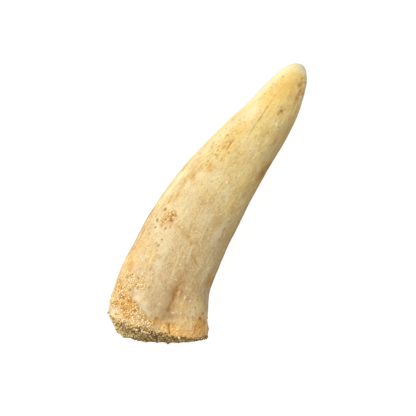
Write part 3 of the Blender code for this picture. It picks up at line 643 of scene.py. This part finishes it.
# Fossil enamel over dentine, worn satin by the sea: cream, stained with iron from the sand it lay in. The eye
# gets a soft shine, fine lines along the tooth and stains that follow its pits and cracks.
PIT_PITCH, PIT_SQUEEZE = 0.48, 0.65  # of the tiny pits that crowd together
LINE_DEPTH, GRIT_DEPTH = 0.06, 0.05
enamel, tree, shader = new_finish("fossil_enamel_stained")
flow = node(tree, "ShaderNodeAttribute", attribute_name="flank").outputs["Vector"]
squeezed = node(tree, "ShaderNodeMapping", {"Vector": flow, "Scale": (PIT_SQUEEZE, 1.0, 1.0)})
pit_cell = node(tree, "ShaderNodeTexVoronoi", {"Vector": squeezed, "Scale": 1.0 / (PIT_PITCH * MM)})
given = {name: node(tree, "ShaderNodeAttribute", attribute_name=name).outputs["Fac"] for name in masks}
given["pit_wall"] = pit_cell.outputs["Distance"]
given["pit_chance"] = node(tree, "ShaderNodeSeparateColor", {"Color": pit_cell.outputs["Color"]}).outputs["Red"]
place_in = node(tree, "ShaderNodeTexCoord").outputs["Object"]
given["to_tip"] = node(tree, "ShaderNodeSeparateXYZ", {"Vector": place_in}).outputs["X"]
colour, given = layered(tree, flow, "#D8BB89", (
    ("grain", 0.22, 1.0, 2.0, 0.55, 0.0),
    ("ragged", 0.40, 1.8, 3.0, 0.55, 0.2),
    ("streaky", 0.55, 2.2, 4.0, 0.70, 0.4),
    ("fleck", 0.44, 2.4, 3.0, 0.60, 0.5),
    ("blotch", 2.60, 1.5, 4.0, 0.55, 0.3),
    ("line", 0.26, 24.0, 3.0, 0.70, 0.0),
    ("lined", 5.00, 1.0, 1.0, 0.55, 0.9),
), (
    ("#F6DD88", ("to_tip", -14.0 * MM, 22.0 * MM)),
    ("#C5A167", ("blotch", 0.50, 0.72, 0.0, 0.55)),
    ("#F9E7AC", ("blotch", 0.46, 0.30, 0.0, 0.50)),
    ("#AF8846", ("fleck", 0.55, 0.70, 0.0, 0.42)),
    ("#FDEEBC", ("fleck", 0.44, 0.30, 0.0, 0.42)),
    ("#AD8A52", ("line", 0.54, 0.72, 0.0, 0.40), ("lined", 0.42, 0.60)),
    ("#FDF0C8", ("line", 0.46, 0.30, 0.0, 0.50), ("lined", 0.42, 0.60)),
    ("#8F6E3E", ("grain", 0.54, 0.70), ("to_tip", -10.4 * MM, 11.2 * MM, 0.42, 0.26)),
    ("#FFF4D2", ("grain", 0.45, 0.30), ("to_tip", -10.4 * MM, 11.2 * MM, 0.36, 0.20)),
    ("#F4C863", "gold", 0.80),
    ("#B09470", "mauve", 0.75),
    ("#FFC468", "rim", ("ragged", 0.34, 0.56, 1.00, 0.85)),
    ("#FFB052", ("rim", 0.80, 1.0, 0.0, 0.55)),
    ("#CC8024", "rim", ("streaky", 0.54, 0.61, 0.0, 0.55)),
    ("#FFE6A6", "rim", ("streaky", 0.48, 0.41, 0.0, 0.66)),
    ("#9A5C14", "rim", ("grain", 0.54, 0.63, 0.0, 0.50)),
    ("#FFE29A", "rim", ("grain", 0.48, 0.40, 0.0, 0.60)),
    # Pale: bleached enamel and scratches, with painted highlights on the keel's crest, the outer curve, the beads
    # and the tip's inner curve.
    ("#FCF2CC", "pale", 0.85),
    # Rust stain, with the painted shade along the inner curve mixed in.
    ("#CB9442", "iron_and_shade", ("ragged", 0.38, 0.58, 0.30, 1.00)),
    # Brown spots and cracks; over the furrow at the base and along the inner curve this brown is painted shade.
    ("#A67228", "umber", ("ragged", 0.30, 0.55, 0.75, 1.00)),
    ("#8E5818", "pitted", ("pit_wall", 0.36, 0.20), ("pit_chance", 0.35, 0.75), 0.70),
    ("#DDC08A", "crust", 0.85),
    ("#BC842F", "crust", "amber", 0.90),
    ("#7A5F36", "grey"),
), given)
dulled = node(tree, "ShaderNodeMapRange", {"Value": given["crust"], "To Min": 0.40, "To Max": 0.80})
lines = node(tree, "ShaderNodeBump", {"Height": given["fleck"], "Distance": LINE_DEPTH * MM, "Strength": 0.4})
grit = node(tree, "ShaderNodeBump", {
    "Height": given["grain"], "Distance": GRIT_DEPTH * MM, "Strength": 0.4, "Normal": lines,
})
feed(tree, shader, {"Base Color": colour, "Roughness": dulled, "IOR": 1.5, "Normal": grit})
fang.data.materials.append(enamel)
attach(fang, "root")
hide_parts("fang")

# The sand. Phosphate sand of the bed, set hard in the broken base and round its rim: a lumpy cap that fills the
# dished break and feathers out over the edge.
SAND_DEPTH, SAND_LEAN, SAND_EDGE = 2.60, -0.02, 0.15
SAND_PROUD, SAND_SHOULDER = 0.08, 0.10  # the shoulder stands on the upper side, where the sand laps the rim
SHOULDER_ANGLE, SHOULDER_SPREAD = 80.0, 45.0
SHOULDER_FADE, LUMP_FADE = 12.0, 2.0  # how fast both die away towards the lip
# Painted light: the sand's outer face, and its lip on the upper side, which turn towards the lamps, take lighter
# tones.
FACE_LIT, FACE_LIT_ANGLE, FACE_LIT_SPREAD = 0.95, 25.0, 38.0
LIP_LIT_ANGLE, LIP_LIT_SPREAD = 65.0, 50.0
SAND_LUMP, SAND_LUMP_SIZE = 0.42, 1.5
SAND_GRIT, SAND_GRIT_SIZE, SAND_FINE, SAND_FINE_SIZE = 0.2, 0.65, 0.07, 0.3
SAND_ROUND, SAND_INNER_ROUND = 3.2, 1.6
SAND_CHAMFER, SAND_CHAMFER_TURN = 0.27, 4.0
SAND_RAGGED, SAND_RAGGED_SIZE, SAND_RAGGED_RING = 0.20, 0.8, 7.0
SAND_UNDER_RIM, SAND_IN_DISH = 0.03, 0.25  # how far it stands inside the rim's edge, and out of the dish
SAND_AROUND, SAND_CAP_RINGS, SAND_BACK_RINGS = 240, 84, 6

sand_angle = np.arange(SAND_AROUND) * (360.0 / SAND_AROUND)
sand_share = (np.arange(1, SAND_CAP_RINGS + 1) / SAND_CAP_RINGS)[:, None]
cap_across, cap_up = oval(sand_angle)
outer = np.cos(np.radians(sand_angle))
lip_spot = np.stack((outer, np.sin(np.radians(sand_angle)), 0.0 * outer), axis=-1) * SAND_RAGGED_RING
sand_lip = joint(sand_angle) + SAND_RAGGED * perlin(lip_spot, SAND_RAGGED_SIZE)
sand_lip += SAND_REACH * bump(turned(sand_angle, SAND_REACH_ANGLE), SAND_REACH_SPREAD)
turn = np.radians(90.0 * sand_share)
roundness = SAND_ROUND + (SAND_INNER_ROUND - SAND_ROUND) * (0.5 - 0.5 * outer)
reach = np.sin(turn) ** (2.0 / roundness)
drop = np.maximum(np.cos(turn), 0.0) ** (2.0 / roundness)
slant = (1.0 - reach) / SAND_CHAMFER
slant /= (1.0 + slant**SAND_CHAMFER_TURN) ** (1.0 / SAND_CHAMFER_TURN)
drop = drop + (slant - drop) * (0.5 + 0.5 * outer)
base_width = station(np.zeros(SAND_AROUND), HALF_WIDTH)
deepest = np.minimum(sand_lip - SAND_EDGE, -SAND_DEPTH - SAND_LEAN * reach * cap_across * base_width)
cap_along = sand_lip + (deepest - sand_lip) * drop
shoulder = SAND_PROUD + SAND_SHOULDER * bump(turned(sand_angle, SHOULDER_ANGLE), SHOULDER_SPREAD)
shoulder = shoulder * np.minimum(1.0, SHOULDER_FADE * (1.0 - sand_share))
edge = relief(sand_lip, sand_angle) + shoulder - SAND_UNDER_RIM
cap_width = station(sand_lip, HALF_WIDTH) + edge
cap_thickness = station(sand_lip, HALF_THICKNESS) + edge
cap_spot = np.stack((cap_along, reach * cap_across * cap_width, reach * cap_up * cap_thickness), axis=-1)
lump = SAND_LUMP * perlin(cap_spot, SAND_LUMP_SIZE) + SAND_GRIT * perlin(cap_spot, SAND_GRIT_SIZE)
lump = lump * np.minimum(1.0, LUMP_FADE * (1.0 - sand_share))
lump = lump + SAND_FINE * perlin(cap_spot, SAND_FINE_SIZE) * (1.0 - sand_share)
outward = np.stack((reach * cap_across, reach * cap_up, drop), axis=-1)
outward = outward / np.linalg.norm(outward, axis=-1, keepdims=True) * lump[..., None]
cap_points = place(
    cap_along - outward[..., 2],
    reach * cap_across * cap_width + outward[..., 0],
    station(sand_lip, HALF_THICKNESS) - REST_FLAT + reach * cap_up * cap_thickness + outward[..., 1],
)
back_share = 1.0 - (np.arange(1, SAND_BACK_RINGS) / SAND_BACK_RINGS)[:, None]
back_points = break_points(back_share, sand_angle[None, :], sand_lip[None, :], -SAND_IN_DISH)
sand_rows = np.concatenate((cap_points, back_points))
# Painted light: lighter sand where the cap turns towards the lamps, darker sand elsewhere.
near_lip = np.concatenate((step_up(0.30, 0.80, sand_share), np.zeros((len(back_share), 1))))
lit_side = np.maximum(
    FACE_LIT * bump(turned(sand_angle, FACE_LIT_ANGLE), FACE_LIT_SPREAD),
    near_lip * bump(turned(sand_angle, LIP_LIT_ANGLE), LIP_LIT_SPREAD),
)
sand_fields = {
    "grainy": np.ones(2 + sand_rows.shape[0] * SAND_AROUND),
    "lit_side": np.concatenate(([0.0], lit_side.ravel(), [0.0])),
}
sand = closed_rings("sand_crust", cap_points[0].mean(axis=0), sand_rows, back_points[-1].mean(axis=0), sand_fields)

# Hard sandstone, broken not cut: dull, with a brown cement between the grains that sit on it.
cement, tree, shader = new_finish("sandstone_cement")
place_in = node(tree, "ShaderNodeTexCoord").outputs["Object"]
colour, given = layered(tree, place_in, "#B3945C", (
    ("speck", 0.35, 1.0, 2.0, 0.55, 0.0),
    ("pale_spot", 0.50, 1.0, 3.0, 0.55, 0.7),
    ("grit", 0.25, 1.0, 2.0, 0.55, 0.0),
), (
    ("#755A32", ("speck", 0.42, 0.60)),
    ("#E2C78E", ("pale_spot", 0.56, 0.66, 0.0, 0.8)),
))
rough = node(tree, "ShaderNodeBump", {"Height": given["grit"], "Distance": 0.12 * MM, "Strength": 0.8})
feed(tree, shader, {"Base Color": colour, "Roughness": 0.92, "IOR": 1.5, "Normal": rough})
sand.data.materials.append(cement)
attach(sand, "root")
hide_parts("sand_matrix")

# The grains on the break. Quartz and phosphate sand, 0.26 to 0.42 mm across, set in the brown cement all over it.
# Each is one small rounded stone, half sunk in what holds it.
GRAIN_MIN, GRAIN_MAX = 0.26, 0.42
BREAK_SPACING, BREAK_SUNK, BREAK_SEED = 0.26, -0.03, 11
STRONG_ENOUGH = 0.35  # of the field that says where grains stick
MOST_GRAINS = 3.0e7  # on a square metre, before the spacing thins them out
CHIP_DEPTH, CHIP_SIZE = 0.16, 0.22
FLATTEST, FULLEST, ANY_TURN = (0.75, 0.75, 0.7), (1.2, 1.2, 1.0), (6.283, 6.283, 6.283)


def grain_tree(name):
    """Scatters small stones over a mesh where a field of it is strong."""
    group = bpy.data.node_groups.new(name, "GeometryNodeTree")
    for label, kind in (
        ("Surface", "Geometry"), ("Field", "String"), ("Spacing", "Float"), ("Smallest", "Float"),
        ("Largest", "Float"), ("Sunk", "Float"), ("Seed", "Int"), ("Finish", "Material"),
    ):
        group.interface.new_socket(name=label, in_out="INPUT", socket_type="NodeSocket" + kind)
    group.interface.new_socket(name="Grains", in_out="OUTPUT", socket_type="NodeSocketGeometry")
    given = group.nodes.new("NodeGroupInput").outputs
    field = node(group, "GeometryNodeInputNamedAttribute", {"Name": given["Field"]})
    strong = node(group, "FunctionNodeCompare", {0: field, 1: STRONG_ENOUGH}, operation="GREATER_THAN")
    scatter = node(group, "GeometryNodeDistributePointsOnFaces", {
        "Mesh": given["Surface"], "Selection": strong, "Distance Min": given["Spacing"],
        "Density Max": MOST_GRAINS, "Density Factor": field, "Seed": given["Seed"],
    }, distribute_method="POISSON")
    down = {0: scatter.outputs["Normal"], "Scale": given["Sunk"]}
    points = node(group, "GeometryNodeStoreNamedAttribute", {
        "Geometry": scatter, "Name": "sink", "Value": node(group, "ShaderNodeVectorMath", down, operation="SCALE"),
    }, data_type="FLOAT_VECTOR", domain="POINT")
    size = node(group, "FunctionNodeRandomValue", {2: given["Smallest"], 3: given["Largest"], "Seed": 3})
    squash = node(group, "FunctionNodeRandomValue", {0: FLATTEST, 1: FULLEST, "Seed": 4}, data_type="FLOAT_VECTOR")
    spin = node(group, "FunctionNodeRandomValue", {1: ANY_TURN, "Seed": 5}, data_type="FLOAT_VECTOR")
    stones = node(group, "GeometryNodeInstanceOnPoints", {
        "Points": points, "Rotation": spin,
        "Instance": node(group, "GeometryNodeMeshUVSphere", {"Segments": 7, "Rings": 5, "Radius": 0.5}),
        "Scale": node(group, "ShaderNodeVectorMath", {0: squash, "Scale": size}, operation="SCALE"),
    })
    sink = node(group, "GeometryNodeInputNamedAttribute", {"Name": "sink"}, data_type="FLOAT_VECTOR")
    moved = node(group, "GeometryNodeTranslateInstances", {
        "Instances": stones, "Translation": sink, "Local Space": False,
    })
    tint = node(group, "FunctionNodeRandomValue", {"Seed": 6})
    named = node(group, "GeometryNodeStoreNamedAttribute", {
        "Geometry": moved, "Name": "tint", "Value": tint,
    }, domain="INSTANCE")
    real = node(group, "GeometryNodeRealizeInstances", {"Geometry": named})
    chip = node(group, "ShaderNodeTexNoise", {"Scale": 1.0 / (CHIP_SIZE * MM), "Detail": 1.0}).outputs["Color"]
    centred = node(group, "ShaderNodeVectorMath", {0: chip, 1: (0.5, 0.5, 0.5)}, operation="SUBTRACT")
    by = node(group, "ShaderNodeVectorMath", {0: centred, "Scale": CHIP_DEPTH * MM}, operation="SCALE")
    shaped = node(group, "GeometryNodeSetPosition", {"Geometry": real, "Offset": by})
    smooth = node(group, "GeometryNodeSetShadeSmooth", {"Geometry": shaped})
    finished = node(group, "GeometryNodeSetMaterial", {"Geometry": smooth, "Material": given["Finish"]})
    node(group, "NodeGroupOutput", {"Grains": finished})
    return group


scatter_grains = grain_tree("scatter_grains")


def grown_on(surface, name, values):
    """A plain mesh of the grains that the tree scatters over a piece."""
    host = bpy.data.objects.new(name, surface.data.copy())
    bpy.context.scene.collection.objects.link(host)
    modifier = host.modifiers.new("grains", "NODES")
    modifier.node_group = scatter_grains
    sockets = {s.name: s.identifier for s in scatter_grains.interface.items_tree if s.in_out == "INPUT"}
    for label, value in values.items():
        modifier[sockets[label]] = value
    graph = bpy.context.evaluated_depsgraph_get()
    host.data = bpy.data.meshes.new_from_object(host.evaluated_get(graph))
    host.data.name = name
    host.modifiers.remove(modifier)
    return host


# Sand grains: glassy quartz, milky quartz and brown phosphate, each with its own tone. The eye gets a speckle of
# cream, tan and dark brown with small glints.
def grain_finish(name, plain, stained):
    """A finish whose tone goes by each grain's own tint, with other tones where fields of the host are strong."""
    finish, tree, shader = new_finish(name)
    tint = node(tree, "ShaderNodeAttribute", attribute_name="tint").outputs["Fac"]
    colour = None
    for field, stops in (("", plain), *stained):
        ramp = node(tree, "ShaderNodeValToRGB", {"Fac": tint})
        elements = ramp.color_ramp.elements
        while len(elements) < len(stops):
            elements.new(1.0)
        for element, (where, code) in zip(elements, stops):
            element.position, element.color = where, linear(code)
        if field:
            share = node(tree, "ShaderNodeAttribute", attribute_name=field).outputs["Fac"]
            colour = node(tree, "ShaderNodeMix", {"Factor": share, "A": colour, "B": ramp}, data_type="RGBA")
        else:
            colour = ramp
    feed(tree, shader, {"Base Color": colour, "Roughness": 0.6, "IOR": 1.54})
    return finish


GREY_SAND = ((0.0, "#5A3E18"), (0.20, "#8E6830"), (0.50, "#BC924C"), (0.78, "#DEB870"), (0.94, "#F6DCA4"))
# Painted light: the lighter tones of the sand on the sides turned towards the lamps.
LIT_SIDE_SAND = ((0.0, "#967438"), (0.18, "#C8A25E"), (0.45, "#EACA8A"), (0.75, "#F6DEA6"), (0.92, "#FDF0CC"))
sizes = {"Smallest": GRAIN_MIN * MM, "Largest": GRAIN_MAX * MM}
break_grains = grown_on(sand, "break_grains", {
    "Field": "grainy", "Spacing": BREAK_SPACING * MM, "Sunk": BREAK_SUNK * MM, "Seed": BREAK_SEED,
    "Finish": grain_finish("quartz_and_phosphate_sand", GREY_SAND, (("lit_side", LIT_SIDE_SAND),)), **sizes,
})
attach(break_grains, "root")
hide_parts("sand_matrix")

# The grains on the flank. The same sand, bleached cream or stained golden by iron, stuck in patches to the outer
# curve near the base, along the rim, and in one worn hollow half way up.
FLANK_SPACING, FLANK_SUNK, FLANK_SEED = 0.25, -0.02, 12
CREAM_SAND = ((0.0, "#C8A05E"), (0.20, "#E6C484"), (0.50, "#F4DAA2"), (0.80, "#FAE4B0"), (0.97, "#FCEFCE"))
GOLDEN_SAND = ((0.0, "#AC7022"), (0.22, "#D69C42"), (0.48, "#EFBE62"), (0.72, "#F8D080"), (0.94, "#FCE0A0"))
flank_finish = grain_finish("cream_and_golden_sand", CREAM_SAND, (
    ("amber", GOLDEN_SAND), ("grey", GREY_SAND), ("lit_side", LIT_SIDE_SAND),
))
flank_grains = grown_on(fang, "flank_grains", {
    "Field": "crust", "Spacing": FLANK_SPACING * MM, "Sunk": FLANK_SUNK * MM, "Seed": FLANK_SEED,
    "Finish": flank_finish, **sizes,
})
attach(flank_grains, "root")
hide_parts("fang")

# The sheet it lies on: opal acrylic with a matt face, lit from below, as photographers use for a white ground. The
# eye gets an even pale ground, and its glow doesn't reach the tooth.
SHEET_SIZE, SHEET_TONE, GLOW_TONE, SHEET_GLOW = 3.0, "#818181", "#FFFFFF", 0.90
bpy.ops.mesh.primitive_plane_add(size=SHEET_SIZE, location=(0.0, 0.0, 0.0))
sheet = bpy.context.object
sheet.name = "opal_sheet"
acrylic, tree, shader = new_finish("opal_acrylic")
feed(tree, shader, {
    "Base Color": linear(SHEET_TONE), "Roughness": 0.9,
    "Emission Color": linear(GLOW_TONE), "Emission Strength": SHEET_GLOW,
})
sheet.data.materials.append(acrylic)
sheet.visible_diffuse = sheet.visible_glossy = False

# The camera looks down on the fang, leaning ten degrees towards its base, and is rolled so that the fang's long
# axis stands at 62.6 degrees in the picture.
PICTURE = 416  # pixels on each side
PIXELS_PER_MM = 6.75
ROLL, LEAN, DISTANCE, SENSOR = math.radians(62.6), math.radians(10.0), 0.300, 36.0
AIM_HEIGHT, AIM_RIGHT, AIM_UP = 4.0, -1.487, -1.209  # from the origin to the middle of the picture
picture_up = Vector((math.sin(ROLL), math.cos(ROLL), 0.0))
right = Vector((math.cos(ROLL), -math.sin(ROLL), 0.0))
back = Vector((0.0, 0.0, 1.0)) * math.cos(LEAN) - picture_up * math.sin(LEAN)
up = back.cross(right)
aim = Vector((0.0, 0.0, AIM_HEIGHT * MM)) + (AIM_RIGHT * right + AIM_UP * up) * MM
lens = bpy.data.cameras.new("camera")
lens.sensor_width = SENSOR
lens.lens = SENSOR * DISTANCE * 1000.0 * PIXELS_PER_MM / PICTURE
lens.clip_start, lens.clip_end = 0.01, 10.0
camera = bpy.data.objects.new("camera", lens)
camera.matrix_world = Matrix.Translation(aim + DISTANCE * back) @ Matrix((right, up, back)).transposed().to_4x4()
bpy.context.scene.collection.objects.link(camera)
bpy.context.scene.camera = camera

# The light: a broad soft window at the picture's upper left, a second beyond its top, white cards low at its left
# and below, and an even pale room.
LIGHT_DISTANCE, LIGHT_SIZE, LIGHT_TONE = 0.8, 0.35, "#FFFAF0"
ROOM_TONE, ROOM_DARK, ROOM_PALE = "#FFFFFF", 0.22, 0.49  # dark below the sheet, and pale from its edge upwards
for name, towards, watts in (  # the way to each is given as right, up and out of the picture
    ("window", (-1.0, 0.60, 0.80), 3.0),
    ("low_card", (-1.0, 0.50, 0.15), 1.95),
    ("far_window", (0.10, 1.0, 0.50), 1.4),
    ("near_card", (0.25, -1.0, 0.90), 0.8),
):
    light = bpy.data.lights.new(name, "AREA")
    light.shape, light.size, light.energy = "SQUARE", LIGHT_SIZE, watts
    light.color = linear(LIGHT_TONE)[:3]
    lamp = bpy.data.objects.new(name, light)
    way = (right * towards[0] + up * towards[1] + back * towards[2]).normalized()
    lamp.location = way * LIGHT_DISTANCE
    lamp.rotation_euler = way.to_track_quat("Z", "Y").to_euler()
    bpy.context.scene.collection.objects.link(lamp)
room = bpy.data.worlds.new("room")
room.use_nodes = True
tree = room.node_tree
way_out = node(tree, "ShaderNodeTexCoord").outputs["Generated"]
glow = node(tree, "ShaderNodeMapRange", {
    "Value": node(tree, "ShaderNodeSeparateXYZ", {"Vector": way_out}).outputs["Z"],
    "From Min": -0.5, "From Max": 0.1, "To Min": ROOM_DARK, "To Max": ROOM_PALE,
})
feed(tree, tree.nodes["Background"], {"Color": linear(ROOM_TONE), "Strength": glow})
bpy.context.scene.world = room
bpy.context.scene.view_settings.view_transform = "Standard"
